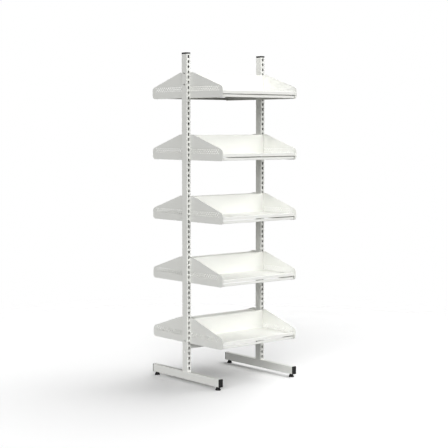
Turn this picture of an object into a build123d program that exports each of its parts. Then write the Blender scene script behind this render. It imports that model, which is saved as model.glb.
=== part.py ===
"""Double-sided gondola shelving bay: two slotted posts on T feet, two cross rails, and on each
face five shelves that stand on pairs of hook-in end brackets.  Every piece is its own solid.

Millimetres.  X runs along the bay, Y from the front face (-) to the rear face (+), Z up.  The
origin is on the floor at the middle of the bay, under the mid-plane between the posts."""
import math
import os

from build123d import *

# ---- driving dimensions -------------------------------------------------------------------
POST_CENTRE_X = 310.0        # half the distance between post centre lines
POST_W = 30.0                # post width along X
POST_D = 50.0                # post depth along Y
POST_WALL = 1.5
POST_CORNER = 2.0
POST_BOTTOM = 70.0           # the post stands on its leg
POST_TOP = 2060.0
POST_CAP_H = 9.0
POST_CAP_EDGE_R = 1.5
POST_CAP_DEPTH = 18.0

SLOT_PITCH = 32.0
SLOT_COUNT = 62
SLOT_FIRST_Z = 92.0
SLOT_W = 12.0
SLOT_H = 17.5
SLOT_CORNER = 1.0

LEG_BOTTOM = 20.0
LEG_H = 50.0
LEG_W = 30.0
LEG_HALF_LENGTH = 329.5      # steel only, the end caps stand beyond it
LEG_WALL = 2.0
LEG_CORNER = 3.0
LEG_CAP_FLANGE = 6.5
LEG_CAP_DEPTH = 12.0
LEG_CAP_EDGE_R = 2.5
CAP_PLUG_WALL = 2.5
CAP_PLUG_GAP = 0.15

FOOT_Y = 306.0               # foot centres, from the mid-plane
FOOT_LEG_GAP = 0.3
FOOT_H = LEG_BOTTOM - FOOT_LEG_GAP
FOOT_BASE_R = 16.0
FOOT_RIM_H = 3.5
FOOT_RIM_R = 1.2
FOOT_NECK_R = 8.5
FOOT_SOCKET_R = 5.05
FOOT_SOCKET_FLOOR = 5.0
STUD_R = 4.97
STUD_ROOT_R = 4.25
STUD_SHANK_TOP = 18.5        # plain shank up to here, thread above it
STUD_TOP = 62.0
THREAD_PITCH = 1.5
NUT_BORE_R = 5.05
NUT_ACROSS_FLATS = 17.0
NUT_H = 8.0
LEG_FOOT_HOLE_R = 5.6

RAIL_HEIGHTS = {"lower": 229.0, "upper": 1906.0}
RAIL_SECTION = 30.0
RAIL_WALL = 1.5
RAIL_CORNER = 3.0
RAIL_PLATE = 3.0
RAIL_PLATE_H = 96.0
RAIL_PLATE_D = 36.0
RAIL_BOLT_SPACING = 70.0
BOLT_R = 3.0
BOLT_HEAD_R = 5.0
BOLT_HEAD_H = 6.0
BOLT_SOCKET_AF = 5.0
BOLT_SOCKET_DEPTH = 3.0
BOLT_LENGTH = 14.0
BOLT_CLEARANCE_R = 3.3
ACCESS_HOLE_R = 5.3
WELD_NUT_R = 6.5
WELD_NUT_H = 7.0
WELD_NUT_BORE_R = 3.05

LEVELS = 5
LEVEL_FIRST_Z = 251.0        # underside of the lowest pair of brackets
LEVEL_FIRST_SLOT = 5         # index of the slot beside that underside
LEVEL_STEP = 12 * SLOT_PITCH

BRACKET_X = 305.0            # inner face of the bracket plate
BRACKET_T = 2.0
BRACKET_ROOT_Y = 25.3
BRACKET_FRONT_Y = 348.0
BRACKET_ROOT_H = 160.0
BRACKET_ROOT_FLAT = 63.5     # the top stays level as far as this
BRACKET_FRONT_H = 67.5       # height where the sloping top meets the front edge
BRACKET_ROOT_R = 50.0
BRACKET_NOSE_R = 25.0
BRACKET_TOE_R = 21.0
BRACKET_FLANGE = 14.0
BRACKET_FLANGE_START = 32.0
BRACKET_FLANGE_END = 322.0
HOLE_ROWS = 3                # the middle row is staggered and one hole shorter
HOLE_ROW_STEP = SLOT_PITCH / 3
HOLE_PITCH = 2 * HOLE_ROW_STEP
HOLE_COUNT = 13
HOLE_FIRST_Y = 53.0
HOLE_FIRST_Z = 46.5
HOLE_R = 4.0

HOOK_SLOTS = (1, 3, 4)       # slots counted up from the one at the bracket's underside
HOOK_NECK_H = 9.0
HOOK_DROP = 6.5
HOOK_BACK_Y = 19.5
HOOK_FRONT_Y = 23.2
HOOK_SEAT_GAP = 0.1

SHEET = 1.2
SHEET_BEND_R = 2.0
SHELF_HALF_W = 304.3
SHELF_BACK_Y = 38.0          # face of the back panel
SHELF_BACK_TOP = 156.0
SHELF_FLOOR = 37.0           # top of the shelf floor above the bracket's underside
SHELF_FRONT_Y = 336.0        # the brackets stand 12 mm further out
LIP_TOP = 44.5
LIP_BOTTOM = 24.5
LIP_W = 12.0
HEM_START_Y = 44.0
HEM_END_Y = 318.0
BACK_HOLE_SPACING = 18.6
BACK_HOLE_Z = 76.5
BACK_HOLE_R = 2.5

LABEL_HALF_W = 298.0
LABEL_BOTTOM = 3.0
LABEL_TOP = 19.0
LABEL_FRONT_Y = 333.0
LABEL_BACK_Y = 310.0
EAR_TOP_Y = 321.0            # front corner of an end ear, where it meets the shelf floor

ENDS = {"left": -1, "right": 1}
FACES = {"front": -1, "rear": 1}


# ---- helpers ------------------------------------------------------------------------------
def face_plane(face, bottom, x=0.0):
    """Plane seen from the bay's side: local x runs out from the mid-plane, local y is up."""
    return Plane(origin=(x, 0, bottom), x_dir=(0, face, 0), z_dir=(face, 0, 0))


def save(name, builder):
    builder.part.label = name
    export_step(builder.part, f"parts/{name}.step")


def level_bottom(level):
    return LEVEL_FIRST_Z + (level - 1) * LEVEL_STEP


# ---- posts --------------------------------------------------------------------------------
def make_post(end):
    x = end * POST_CENTRE_X
    slot_mid = SLOT_FIRST_Z + (SLOT_COUNT - 1) * SLOT_PITCH / 2
    with BuildPart() as post:
        with BuildSketch(Plane.XY.offset(POST_BOTTOM)):
            with Locations((x, 0)):
                RectangleRounded(POST_W, POST_D, POST_CORNER)
                RectangleRounded(POST_W - 2 * POST_WALL, POST_D - 2 * POST_WALL,
                                 POST_CORNER - POST_WALL, mode=Mode.SUBTRACT)
        extrude(amount=POST_TOP - POST_BOTTOM)
        with BuildSketch(Plane(origin=(x, 0, slot_mid), x_dir=(1, 0, 0), z_dir=(0, -1, 0))):
            with GridLocations(0, SLOT_PITCH, 1, SLOT_COUNT):
                RectangleRounded(SLOT_W, SLOT_H, SLOT_CORNER)
        extrude(amount=POST_D, both=True, mode=Mode.SUBTRACT)
        for centre in RAIL_HEIGHTS.values():
            outer = Plane(origin=(x, 0, centre), x_dir=(0, end, 0), z_dir=(end, 0, 0))
            with BuildSketch(outer):
                with GridLocations(0, RAIL_BOLT_SPACING, 1, 2):
                    Circle(ACCESS_HOLE_R)
            extrude(amount=POST_W, mode=Mode.SUBTRACT)
            with BuildSketch(outer):
                with GridLocations(0, RAIL_BOLT_SPACING, 1, 2):
                    Circle(BOLT_CLEARANCE_R)
            extrude(amount=-POST_W, mode=Mode.SUBTRACT)
    return post


def make_post_cap(end):
    """Plastic plug: a soft-edged flange on top and a hollow skirt inside the tube."""
    x = end * POST_CENTRE_X
    skirt_w = POST_W - 2 * POST_WALL - 2 * CAP_PLUG_GAP
    skirt_d = POST_D - 2 * POST_WALL - 2 * CAP_PLUG_GAP
    with BuildPart() as cap:
        with BuildSketch(Plane.XY.offset(POST_TOP)):
            with Locations((x, 0)):
                RectangleRounded(POST_W, POST_D, POST_CORNER)
        extrude(amount=POST_CAP_H)
        fillet(cap.faces().sort_by(Axis.Z)[-1].edges(), POST_CAP_EDGE_R)
        with BuildSketch(Plane.XY.offset(POST_TOP)):
            with Locations((x, 0)):
                RectangleRounded(skirt_w, skirt_d, POST_CORNER - POST_WALL)
                Rectangle(skirt_w - 2 * CAP_PLUG_WALL, skirt_d - 2 * CAP_PLUG_WALL,
                          mode=Mode.SUBTRACT)
        extrude(amount=-POST_CAP_DEPTH)
    return cap


# ---- T feet -------------------------------------------------------------------------------
def make_leg(end):
    x = end * POST_CENTRE_X
    middle_z = LEG_BOTTOM + LEG_H / 2
    with BuildPart() as leg:
        with BuildSketch(Plane(origin=(x, 0, middle_z), x_dir=(1, 0, 0), z_dir=(0, -1, 0))):
            RectangleRounded(LEG_W, LEG_H, LEG_CORNER)
            RectangleRounded(LEG_W - 2 * LEG_WALL, LEG_H - 2 * LEG_WALL,
                             LEG_CORNER - LEG_WALL, mode=Mode.SUBTRACT)
        extrude(amount=LEG_HALF_LENGTH, both=True)
        with BuildSketch(Plane.XY.offset(LEG_BOTTOM)):
            with Locations((x, -FOOT_Y), (x, FOOT_Y)):
                Circle(LEG_FOOT_HOLE_R)
        extrude(amount=2 * LEG_WALL, mode=Mode.SUBTRACT)
    return leg


def make_leg_caps():
    """Four push-in end caps of the two legs, one group of separate solids."""
    plug_w = LEG_W - 2 * LEG_WALL - 2 * CAP_PLUG_GAP
    plug_h = LEG_H - 2 * LEG_WALL - 2 * CAP_PLUG_GAP
    middle_z = LEG_BOTTOM + LEG_H / 2
    with BuildPart() as caps:
        for end in ENDS.values():
            for face in FACES.values():
                mouth = Plane(origin=(end * POST_CENTRE_X, face * LEG_HALF_LENGTH, middle_z),
                              x_dir=(-face, 0, 0), z_dir=(0, face, 0))
                with BuildSketch(mouth):
                    RectangleRounded(LEG_W, LEG_H, LEG_CORNER)
                extrude(amount=LEG_CAP_FLANGE)
                with BuildSketch(mouth):
                    RectangleRounded(plug_w, plug_h, LEG_CORNER - LEG_WALL)
                    Rectangle(plug_w - 2 * CAP_PLUG_WALL, plug_h - 2 * CAP_PLUG_WALL,
                              mode=Mode.SUBTRACT)
                extrude(amount=-LEG_CAP_DEPTH)
        for outermost in (0, -1):
            fillet(caps.faces().group_by(Axis.Y)[outermost].edges(), LEG_CAP_EDGE_R)
    return caps


def make_foot_nuts():
    """Hexagon nuts on the floor of the legs; the levelling studs screw through them."""
    nut_z = LEG_BOTTOM + LEG_WALL
    corner_r = NUT_ACROSS_FLATS / math.sqrt(3)
    with BuildPart() as nuts:
        with BuildSketch(Plane.XY.offset(nut_z)):
            with GridLocations(2 * POST_CENTRE_X, 2 * FOOT_Y, 2, 2):
                RegularPolygon(corner_r, 6)
                Circle(NUT_BORE_R, mode=Mode.SUBTRACT)
        extrude(amount=NUT_H)
    return nuts


def make_foot_pad(end, face):
    """Cone-shaped levelling pad with a socket for the stud."""
    axis_plane = Plane(origin=(end * POST_CENTRE_X, face * FOOT_Y, 0),
                       x_dir=(1, 0, 0), z_dir=(0, -1, 0))
    with BuildPart() as pad:
        with BuildSketch(axis_plane):
            with BuildLine():
                Polyline((0, 0), (FOOT_BASE_R, 0), (FOOT_BASE_R, FOOT_RIM_H),
                         (FOOT_NECK_R, FOOT_H), (FOOT_SOCKET_R, FOOT_H),
                         (FOOT_SOCKET_R, FOOT_SOCKET_FLOOR), (0, FOOT_SOCKET_FLOOR), close=True)
            make_face()
        revolve(axis=Axis((end * POST_CENTRE_X, face * FOOT_Y, 0), (0, 0, 1)))
        rim = pad.edges().filter_by(GeomType.CIRCLE).group_by(Axis.Z)
        fillet(rim[1], FOOT_RIM_R)
    return pad


def make_foot_stud(end, face):
    """Threaded stud: plain shank in the pad, then thread crests and roots at one pitch."""
    axis_plane = Plane(origin=(end * POST_CENTRE_X, face * FOOT_Y, 0),
                       x_dir=(1, 0, 0), z_dir=(0, -1, 0))
    turns = int((STUD_TOP - STUD_SHANK_TOP) / THREAD_PITCH)
    outline = [(0, FOOT_SOCKET_FLOOR), (STUD_R, FOOT_SOCKET_FLOOR), (STUD_R, STUD_SHANK_TOP)]
    for turn in range(turns):
        start = STUD_SHANK_TOP + turn * THREAD_PITCH
        outline.append((STUD_ROOT_R, start + THREAD_PITCH / 2))
        outline.append((STUD_R, start + THREAD_PITCH))
    outline.append((0, outline[-1][1]))
    with BuildPart() as stud:
        with BuildSketch(axis_plane):
            with BuildLine():
                Polyline(*outline, close=True)
            make_face()
        revolve(axis=Axis((end * POST_CENTRE_X, face * FOOT_Y, 0), (0, 0, 1)))
    return stud


# ---- cross rails --------------------------------------------------------------------------
def make_rail(centre_z):
    """Square tube with a welded end plate and two weld nuts at each end."""
    plate_x = POST_CENTRE_X - POST_W / 2
    tube_half = plate_x - RAIL_PLATE
    with BuildPart() as rail:
        with BuildSketch(Plane(origin=(0, 0, centre_z), x_dir=(0, 1, 0), z_dir=(1, 0, 0))):
            RectangleRounded(RAIL_SECTION, RAIL_SECTION, RAIL_CORNER)
            RectangleRounded(RAIL_SECTION - 2 * RAIL_WALL, RAIL_SECTION - 2 * RAIL_WALL,
                             RAIL_CORNER - RAIL_WALL, mode=Mode.SUBTRACT)
        extrude(amount=tube_half, both=True)
        for end in ENDS.values():
            inner = Plane(origin=(end * tube_half, 0, centre_z), x_dir=(0, end, 0),
                          z_dir=(end, 0, 0))
            with BuildSketch(inner):
                RectangleRounded(RAIL_PLATE_D, RAIL_PLATE_H, RAIL_CORNER)
            extrude(amount=RAIL_PLATE)
            with BuildSketch(inner):
                with GridLocations(0, RAIL_BOLT_SPACING, 1, 2):
                    Circle(WELD_NUT_R)
            extrude(amount=-WELD_NUT_H)
            with BuildSketch(inner.offset(RAIL_PLATE)):
                with GridLocations(0, RAIL_BOLT_SPACING, 1, 2):
                    Circle(WELD_NUT_BORE_R)
            extrude(amount=-(RAIL_PLATE + WELD_NUT_H), mode=Mode.SUBTRACT)
    return rail


def make_rail_bolts():
    """Socket-head bolts seated on the inside of each post's inner wall."""
    seat_x = POST_CENTRE_X - POST_W / 2 + POST_WALL
    socket_r = BOLT_SOCKET_AF / math.sqrt(3)
    with BuildPart() as bolts:
        for centre in RAIL_HEIGHTS.values():
            for end in ENDS.values():
                seat = Plane(origin=(end * seat_x, 0, centre), x_dir=(0, end, 0),
                             z_dir=(end, 0, 0))
                with BuildSketch(seat):
                    with GridLocations(0, RAIL_BOLT_SPACING, 1, 2):
                        Circle(BOLT_HEAD_R)
                extrude(amount=BOLT_HEAD_H)
                with BuildSketch(seat):
                    with GridLocations(0, RAIL_BOLT_SPACING, 1, 2):
                        Circle(BOLT_R)
                extrude(amount=-BOLT_LENGTH)
                with BuildSketch(seat.offset(BOLT_HEAD_H)):
                    with GridLocations(0, RAIL_BOLT_SPACING, 1, 2):
                        RegularPolygon(socket_r, 6)
                extrude(amount=-BOLT_SOCKET_DEPTH, mode=Mode.SUBTRACT)
    return bolts


# ---- end brackets -------------------------------------------------------------------------
def make_bracket(end, face, level):
    """Perforated side plate that tapers to the front, with a shelf flange and three hooks."""
    plane = face_plane(face, level_bottom(level), end * BRACKET_X)
    outward = end * face
    hole_mid = HOLE_FIRST_Y + (HOLE_COUNT - 1) * HOLE_PITCH / 2
    flange_length = BRACKET_FLANGE_END - BRACKET_FLANGE_START
    slot_offset = SLOT_FIRST_Z - LEVEL_FIRST_Z + LEVEL_FIRST_SLOT * SLOT_PITCH
    with BuildPart() as bracket:
        with BuildSketch(plane) as plate:
            with BuildLine():
                Polyline((BRACKET_ROOT_Y, 0), (BRACKET_FRONT_Y, 0),
                         (BRACKET_FRONT_Y, BRACKET_FRONT_H), (BRACKET_ROOT_FLAT, BRACKET_ROOT_H),
                         (BRACKET_ROOT_Y, BRACKET_ROOT_H), close=True)
            make_face()
            fillet(plate.vertices().sort_by_distance((BRACKET_FRONT_Y, 0))[0], BRACKET_TOE_R)
            fillet(plate.vertices().sort_by_distance((BRACKET_FRONT_Y, BRACKET_FRONT_H))[0],
                   BRACKET_NOSE_R)
            fillet(plate.vertices().sort_by_distance((BRACKET_ROOT_FLAT, BRACKET_ROOT_H))[0],
                   BRACKET_ROOT_R)
            for row in range(HOLE_ROWS):
                with Locations((hole_mid, HOLE_FIRST_Z + row * HOLE_ROW_STEP)):
                    with GridLocations(HOLE_PITCH, 0, HOLE_COUNT - row % 2, 1):
                        Circle(HOLE_R, mode=Mode.SUBTRACT)
            for slot in HOOK_SLOTS:
                seat = slot_offset + slot * SLOT_PITCH - SLOT_H / 2 + HOOK_SEAT_GAP
                with Locations(((HOOK_BACK_Y + BRACKET_ROOT_Y) / 2, seat + HOOK_NECK_H / 2)):
                    Rectangle(BRACKET_ROOT_Y - HOOK_BACK_Y, HOOK_NECK_H)
                with Locations(((HOOK_BACK_Y + HOOK_FRONT_Y) / 2,
                                seat + (HOOK_NECK_H - HOOK_DROP) / 2)):
                    Rectangle(HOOK_FRONT_Y - HOOK_BACK_Y, HOOK_NECK_H + HOOK_DROP)
        extrude(amount=outward * BRACKET_T)
        with BuildSketch(plane):
            with Locations((BRACKET_FLANGE_START + flange_length / 2, BRACKET_T / 2)):
                Rectangle(flange_length, BRACKET_T)
        extrude(amount=-outward * BRACKET_FLANGE)
    return bracket


# ---- shelves ------------------------------------------------------------------------------
def make_shelf(face, level):
    """One bent sheet: back panel, floor, raised front lip, and a turned-down hem at each side."""
    plane = face_plane(face, level_bottom(level))
    half = SHEET / 2
    back = SHELF_BACK_Y - half
    floor = SHELF_FLOOR - half
    front = SHELF_FRONT_Y - half
    lip_top = LIP_TOP - half
    hem_height = floor - BRACKET_T
    hem_length = HEM_END_Y - HEM_START_Y
    with BuildPart() as shelf:
        with BuildSketch(plane):
            with BuildLine():
                FilletPolyline((back, SHELF_BACK_TOP), (back, floor), (front - LIP_W, floor),
                               (front - LIP_W, lip_top), (front, lip_top), (front, LIP_BOTTOM),
                               radius=SHEET_BEND_R)
            trace(line_width=SHEET)
        extrude(amount=SHELF_HALF_W, both=True)
        for end in ENDS.values():
            with BuildSketch(face_plane(face, level_bottom(level), end * SHELF_HALF_W)):
                with Locations(((HEM_START_Y + HEM_END_Y) / 2, BRACKET_T + hem_height / 2)):
                    Rectangle(hem_length, hem_height)
            extrude(amount=-end * face * SHEET)
        holes_z = level_bottom(level) + BACK_HOLE_Z
        with BuildSketch(Plane(origin=(0, face * SHELF_BACK_Y, holes_z), x_dir=(-face, 0, 0),
                               z_dir=(0, face, 0))):
            with GridLocations(BACK_HOLE_SPACING, 0, 2, 1):
                Circle(BACK_HOLE_R)
        extrude(amount=2 * SHEET, both=True, mode=Mode.SUBTRACT)
    return shelf


def make_label_rail(face, level):
    """Upright label strip with a bottom flange, hung from the shelf floor by an ear at each end."""
    half = SHEET / 2
    front = LABEL_FRONT_Y - half
    bottom = LABEL_BOTTOM + half
    floor_under = SHELF_FLOOR - SHEET
    with BuildPart() as label_rail:
        with BuildSketch(face_plane(face, level_bottom(level))):
            with BuildLine():
                FilletPolyline((LABEL_BACK_Y, bottom), (front, bottom), (front, LABEL_TOP),
                               radius=SHEET_BEND_R)
            trace(line_width=SHEET)
        extrude(amount=LABEL_HALF_W, both=True)
        for end in ENDS.values():
            with BuildSketch(face_plane(face, level_bottom(level), end * LABEL_HALF_W)):
                with BuildLine():
                    Polyline((LABEL_BACK_Y, floor_under), (EAR_TOP_Y, floor_under),
                             (front, LABEL_TOP), (front, bottom + SHEET_BEND_R),
                             (front - SHEET_BEND_R, bottom), (LABEL_BACK_Y, bottom), close=True)
                make_face()
            extrude(amount=-end * face * SHEET)
    return label_rail


# ---- build and write ----------------------------------------------------------------------
os.makedirs("parts", exist_ok=True)

for end_name, end in ENDS.items():
    save(f"post_{end_name}", make_post(end))
    save(f"post_cap_{end_name}", make_post_cap(end))
    save(f"leg_{end_name}", make_leg(end))
    for face_name, face in FACES.items():
        save(f"foot_pad_{face_name}_{end_name}", make_foot_pad(end, face))
        save(f"foot_stud_{face_name}_{end_name}", make_foot_stud(end, face))

save("leg_end_caps", make_leg_caps())
save("foot_nuts", make_foot_nuts())
save("rail_bolts", make_rail_bolts())
for rail_name, rail_z in RAIL_HEIGHTS.items():
    save(f"cross_rail_{rail_name}", make_rail(rail_z))

for face_name, face in FACES.items():
    for level in range(1, LEVELS + 1):
        save(f"shelf_{face_name}_{level}", make_shelf(face, level))
        save(f"label_rail_{face_name}_{level}", make_label_rail(face, level))
        for end_name, end in ENDS.items():
            save(f"bracket_{face_name}_{level}_{end_name}", make_bracket(end, face, level))
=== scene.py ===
"""Looks of the gondola shelving bay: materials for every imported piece, a pale studio floor,
a soft dome that is brightest on the camera's side, with a weaker glow behind the bay,
a high key from the right, and the camera."""
import math

import bpy
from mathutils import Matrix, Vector

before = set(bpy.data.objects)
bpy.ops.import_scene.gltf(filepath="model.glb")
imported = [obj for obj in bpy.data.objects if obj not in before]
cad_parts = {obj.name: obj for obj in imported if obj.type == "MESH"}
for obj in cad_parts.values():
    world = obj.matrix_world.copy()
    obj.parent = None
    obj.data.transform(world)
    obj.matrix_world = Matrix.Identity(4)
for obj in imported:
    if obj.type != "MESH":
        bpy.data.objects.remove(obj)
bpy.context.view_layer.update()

# ---- camera: metres and degrees ------------------------------------------------------------
CAMERA_PLACE = (-5.0365, -5.9191, 1.6091)
CAMERA_HEADING = 40.389      # turned from +Y towards +X
CAMERA_DROP = 4.573          # tilt below the horizon
CAMERA_LENS = 97.44          # mm
CAMERA_SENSOR = 36.0         # mm
CAMERA_REACH = 1000.0

# ---- studio: directions are degrees from +X towards +Y, and above the horizon ----------------
FLOOR_RADIUS = 4.0
FLOOR_CORNERS = 96
FLOOR_FADE = (1.9, 3.8)      # radii between which the floor fades into the background
FLOOR_ALBEDO = 0.94
BELOW_HORIZON = 0.3          # light from below, instead of light thrown back by the floor
GLOWS = (                    # soft patches of the dome: direction, height, tightness, strength
    (225.0, 30.0, 12.0, 3.8),
    (292.0, 15.0, 6.0, 2.2),
    (200.0, 15.0, 6.0, 1.7),
    (90.0, 4.0, 20.0, 2.2),  # lights the rear face
)
KEY_DIRECTION = (8.0, 50.0)
KEY_SOFTNESS = 60.0          # the key's own width
KEY_STRENGTH = 2.1
DISPLAY_GAMMA = 0.75

# ---- paint: scales are patches for each metre, and bumps are metres high ---------------------
WHITE = (0.87, 0.873, 0.845)
SHELF_PAINTED_LIGHTER = 1.01         # painted light: the shelves' paint is made lighter than the frame's, to brighten shelf floors in the shade of the shelf above
PAINT_DARKEST = 0.985        # low end of the drift of tone
PAINT_DRIFT = 3.0
PAINT_ROUGHNESS = 0.42
PAINT_ROUGHNESS_SWING = 0.04
PAINT_GLOSS_DRIFT = 14.0
PAINT_GRAIN = 900.0          # orange peel
PAINT_BUMP = 0.00006

# ---- plastic ---------------------------------------------------------------------------------
POST_CAP_GREY = (0.075, 0.075, 0.073)
LEG_CAP_BLACK = (0.02, 0.02, 0.02)
FOOT_BLACK = (0.012, 0.012, 0.012)
SCUFFS = 120.0
SCUFF_LIGHTER = 1.6
SCUFF_LIFT = 0.01
PLASTIC_GLOSS_DRIFT = 60.0
PLASTIC_GRAIN = 2600.0
PLASTIC_BUMP = 0.00008

# ---- plated steel ----------------------------------------------------------------------------
ZINC = (0.62, 0.62, 0.60)
BLACK_OXIDE = (0.04, 0.04, 0.04)
MOTTLE = 180.0
MOTTLE_DARKEST = 0.8
STEEL_MARKS = 900.0
STEEL_MARKS_STRETCH = (1, 1, 6)
STEEL_BUMP = 0.00003


def material(name):
    """A new node material, its node tree and its Principled shader."""
    made = bpy.data.materials.new(name)
    made.use_nodes = True
    tree = made.node_tree
    shader = tree.nodes["Principled BSDF"]
    return made, tree, shader


def place(tree):
    """Coordinates in metres that stay with the piece."""
    return tree.nodes.new("ShaderNodeTexCoord").outputs["Object"]


def noise(tree, scale, detail=3.0, roughness=0.5, stretch=None):
    """Noise of so many cells for each metre, stretched along an axis if asked."""
    cells = tree.nodes.new("ShaderNodeTexNoise")
    cells.inputs["Scale"].default_value = scale
    cells.inputs["Detail"].default_value = detail
    cells.inputs["Roughness"].default_value = roughness
    source = place(tree)
    if stretch:
        mapping = tree.nodes.new("ShaderNodeMapping")
        mapping.inputs["Scale"].default_value = stretch
        tree.links.new(source, mapping.inputs["Vector"])
        source = mapping.outputs["Vector"]
    tree.links.new(source, cells.inputs["Vector"])
    return cells.outputs["Fac"]


def between(tree, factor, low, high, low_at=0.3, high_at=0.7):
    """A value that runs from low to high as factor runs from low_at to high_at."""
    ramp = tree.nodes.new("ShaderNodeMapRange")
    ramp.inputs["From Min"].default_value = low_at
    ramp.inputs["From Max"].default_value = high_at
    ramp.inputs["To Min"].default_value = low
    ramp.inputs["To Max"].default_value = high
    tree.links.new(factor, ramp.inputs["Value"])
    return ramp.outputs["Result"]


def tint(tree, factor, first, second):
    """A colour between first and second."""
    mix = tree.nodes.new("ShaderNodeMix")
    mix.data_type = "RGBA"
    mix.inputs["A"].default_value = (*first, 1)
    mix.inputs["B"].default_value = (*second, 1)
    tree.links.new(factor, mix.inputs["Factor"])
    return mix.outputs["Result"]


def bump(tree, shader, height, distance):
    """Surface relief; distance is the relief's height in metres."""
    relief = tree.nodes.new("ShaderNodeBump")
    relief.inputs["Distance"].default_value = distance
    relief.inputs["Strength"].default_value = 1.0
    tree.links.new(height, relief.inputs["Height"])
    tree.links.new(relief.outputs["Normal"], shader.inputs["Normal"])


def powder_coat(name, colour=WHITE, roughness=PAINT_ROUGHNESS):
    """Satin powder coat: fine orange peel, and a faint drift of tone and gloss."""
    made, tree, shader = material(name)
    drift = noise(tree, PAINT_DRIFT, detail=4.0)
    darker = tuple(c * PAINT_DARKEST for c in colour)
    tree.links.new(tint(tree, between(tree, drift, 0.0, 1.0), colour, darker),
                   shader.inputs["Base Color"])
    gloss = noise(tree, PAINT_GLOSS_DRIFT, detail=2.0)
    tree.links.new(between(tree, gloss, roughness - PAINT_ROUGHNESS_SWING,
                           roughness + PAINT_ROUGHNESS_SWING),
                   shader.inputs["Roughness"])
    bump(tree, shader, noise(tree, PAINT_GRAIN, detail=2.0), PAINT_BUMP)
    return made


def moulded_plastic(name, colour, roughness):
    """Matt moulded plastic with a spark-eroded grain and a few lighter scuffs."""
    made, tree, shader = material(name)
    scuffs = noise(tree, SCUFFS, detail=6.0, roughness=0.7)
    worn = tuple(min(1.0, c * SCUFF_LIGHTER + SCUFF_LIFT) for c in colour)
    tree.links.new(tint(tree, between(tree, scuffs, 0.0, 1.0, 0.5, 0.85), colour, worn),
                   shader.inputs["Base Color"])
    tree.links.new(between(tree, noise(tree, PLASTIC_GLOSS_DRIFT), roughness - 0.06, roughness + 0.08),
                   shader.inputs["Roughness"])
    bump(tree, shader, noise(tree, PLASTIC_GRAIN, detail=2.0), PLASTIC_BUMP)
    return made


def plated_steel(name, colour, roughness):
    """Plated steel with a faint mottle and fine marks that run level."""
    made, tree, shader = material(name)
    shader.inputs["Metallic"].default_value = 1.0
    mottle = noise(tree, MOTTLE, detail=5.0)
    darker = tuple(c * MOTTLE_DARKEST for c in colour)
    tree.links.new(tint(tree, between(tree, mottle, 0.0, 1.0), colour, darker),
                   shader.inputs["Base Color"])
    tree.links.new(between(tree, mottle, roughness - 0.08, roughness + 0.1),
                   shader.inputs["Roughness"])
    bump(tree, shader, noise(tree, STEEL_MARKS, stretch=STEEL_MARKS_STRETCH), STEEL_BUMP)
    return made


def dress():
    """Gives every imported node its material, by what its name starts with."""
    coat = powder_coat("white_powder_coat")
    # painted light: the shelves get a lighter copy of the frame's white paint, which brightens shelf
    # floors shaded by the shelf above
    lit_shelf_coat = powder_coat("shelf_coat_painted_lighter", tuple(c * SHELF_PAINTED_LIGHTER for c in WHITE))
    looks = {
        "post_cap": moulded_plastic("cap_plastic", POST_CAP_GREY, 0.5),
        "leg_end_caps": moulded_plastic("leg_cap_plastic", LEG_CAP_BLACK, 0.5),
        "foot_pad": moulded_plastic("foot_plastic", FOOT_BLACK, 0.55),
        "foot_stud": plated_steel("zinc_plate", ZINC, 0.35),
        "foot_nuts": plated_steel("zinc_plate_nut", ZINC, 0.38),
        "rail_bolts": plated_steel("black_oxide", BLACK_OXIDE, 0.42),
        "shelf": lit_shelf_coat,
        "label_rail": lit_shelf_coat,
        "bracket": coat,
        "post": coat,
        "leg": coat,
        "cross_rail": coat,
    }
    for name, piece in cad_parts.items():
        key = max((k for k in looks if name.startswith(k)), key=len)
        piece.data.materials.clear()
        piece.data.materials.append(looks[key])


def make_floor():
    """A round pale floor whose rim fades out, so that it shows no horizon."""
    mesh = bpy.data.meshes.new("studio_floor")
    turns = [2 * math.pi * i / FLOOR_CORNERS for i in range(FLOOR_CORNERS)]
    ring = [(FLOOR_RADIUS * math.cos(turn), FLOOR_RADIUS * math.sin(turn), 0) for turn in turns]
    mesh.from_pydata(ring, [], [tuple(range(FLOOR_CORNERS))])
    floor = bpy.data.objects.new("studio_floor", mesh)
    bpy.context.scene.collection.objects.link(floor)
    made, tree, shader = material("floor_paint")
    shader.inputs["Base Color"].default_value = (FLOOR_ALBEDO, FLOOR_ALBEDO, FLOOR_ALBEDO, 1)
    shader.inputs["Roughness"].default_value = 1.0
    shader.inputs["Specular IOR Level"].default_value = 0.0
    distance = tree.nodes.new("ShaderNodeVectorMath")
    distance.operation = "LENGTH"
    tree.links.new(place(tree), distance.inputs[0])
    cover = tree.nodes.new("ShaderNodeMapRange")
    cover.interpolation_type = "SMOOTHSTEP"
    cover.inputs["From Min"].default_value = FLOOR_FADE[0]
    cover.inputs["From Max"].default_value = FLOOR_FADE[1]
    cover.inputs["To Min"].default_value = 1.0
    cover.inputs["To Max"].default_value = 0.0
    tree.links.new(distance.outputs["Value"], cover.inputs["Value"])
    tree.links.new(cover.outputs["Result"], shader.inputs["Alpha"])
    mesh.materials.append(made)
    floor.visible_diffuse = False
    floor.visible_shadow = False


def direction(heading, height):
    """Unit vector towards a heading and a height, both in degrees."""
    turn, rise = math.radians(heading), math.radians(height)
    return Vector((math.cos(turn) * math.cos(rise), math.sin(turn) * math.cos(rise),
                   math.sin(rise)))


def arithmetic(tree, operation, first, second):
    """A Math node on sockets or plain numbers."""
    node = tree.nodes.new("ShaderNodeMath")
    node.operation = operation
    for socket, value in zip(node.inputs, (first, second)):
        if isinstance(value, float):
            socket.default_value = value
        else:
            tree.links.new(value, socket)
    return node.outputs["Value"]


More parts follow.
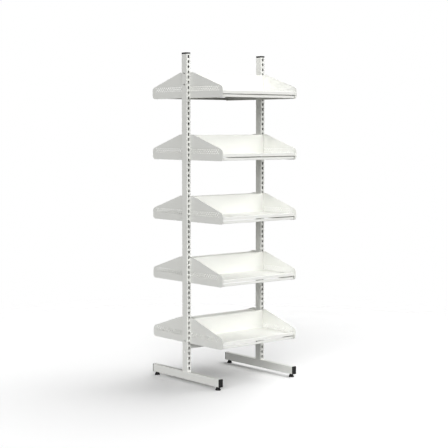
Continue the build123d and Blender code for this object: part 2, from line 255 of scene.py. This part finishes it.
def make_dome():
    """A white backdrop that lights the bay with soft glows, and evenly from below the horizon."""
    world = bpy.data.worlds.new("studio")
    world.use_nodes = True
    bpy.context.scene.world = world
    tree = world.node_tree
    ray = tree.nodes.new("ShaderNodeTexCoord").outputs["Generated"]
    split = tree.nodes.new("ShaderNodeSeparateXYZ")
    tree.links.new(ray, split.inputs["Vector"])
    above = arithmetic(tree, "GREATER_THAN", split.outputs["Z"], 0.0)
    light = arithmetic(tree, "MULTIPLY", arithmetic(tree, "SUBTRACT", 1.0, above), BELOW_HORIZON)
    for heading, height, tightness, strength in GLOWS:
        facing = tree.nodes.new("ShaderNodeVectorMath")
        facing.operation = "DOT_PRODUCT"
        facing.inputs[1].default_value = direction(heading, height)
        tree.links.new(ray, facing.inputs[0])
        towards = arithmetic(tree, "MAXIMUM", facing.outputs["Value"], 0.0)
        glow = arithmetic(tree, "POWER", towards, tightness)
        glow = arithmetic(tree, "MULTIPLY", glow, strength)
        light = arithmetic(tree, "ADD", light, arithmetic(tree, "MULTIPLY", glow, above))
    seen = tree.nodes.new("ShaderNodeLightPath").outputs["Is Camera Ray"]
    tree.links.new(arithmetic(tree, "MAXIMUM", light, seen),
                   tree.nodes["Background"].inputs["Strength"])
    tree.nodes["Background"].inputs["Color"].default_value = (1, 1, 1, 1)


def make_key():
    """A very soft high light from the right, which throws the shadow to the left."""
    light = bpy.data.lights.new("key", "SUN")
    light.energy = KEY_STRENGTH
    light.angle = math.radians(KEY_SOFTNESS)
    key = bpy.data.objects.new("key", light)
    key.rotation_euler = direction(*KEY_DIRECTION).to_track_quat("Z", "Y").to_euler()
    bpy.context.scene.collection.objects.link(key)


def make_camera():
    """A long lens from the front left, tilted slightly down."""
    data = bpy.data.cameras.new("camera")
    data.sensor_width = CAMERA_SENSOR
    data.lens = CAMERA_LENS
    data.clip_end = CAMERA_REACH
    camera = bpy.data.objects.new("camera", data)
    camera.location = CAMERA_PLACE
    camera.rotation_euler = (math.radians(90 - CAMERA_DROP), 0, -math.radians(CAMERA_HEADING))
    bpy.context.scene.collection.objects.link(camera)
    bpy.context.scene.camera = camera


bpy.context.scene.view_settings.view_transform = "Standard"
bpy.context.scene.view_settings.gamma = DISPLAY_GAMMA
make_camera()
dress()
make_floor()
make_dome()
make_key()
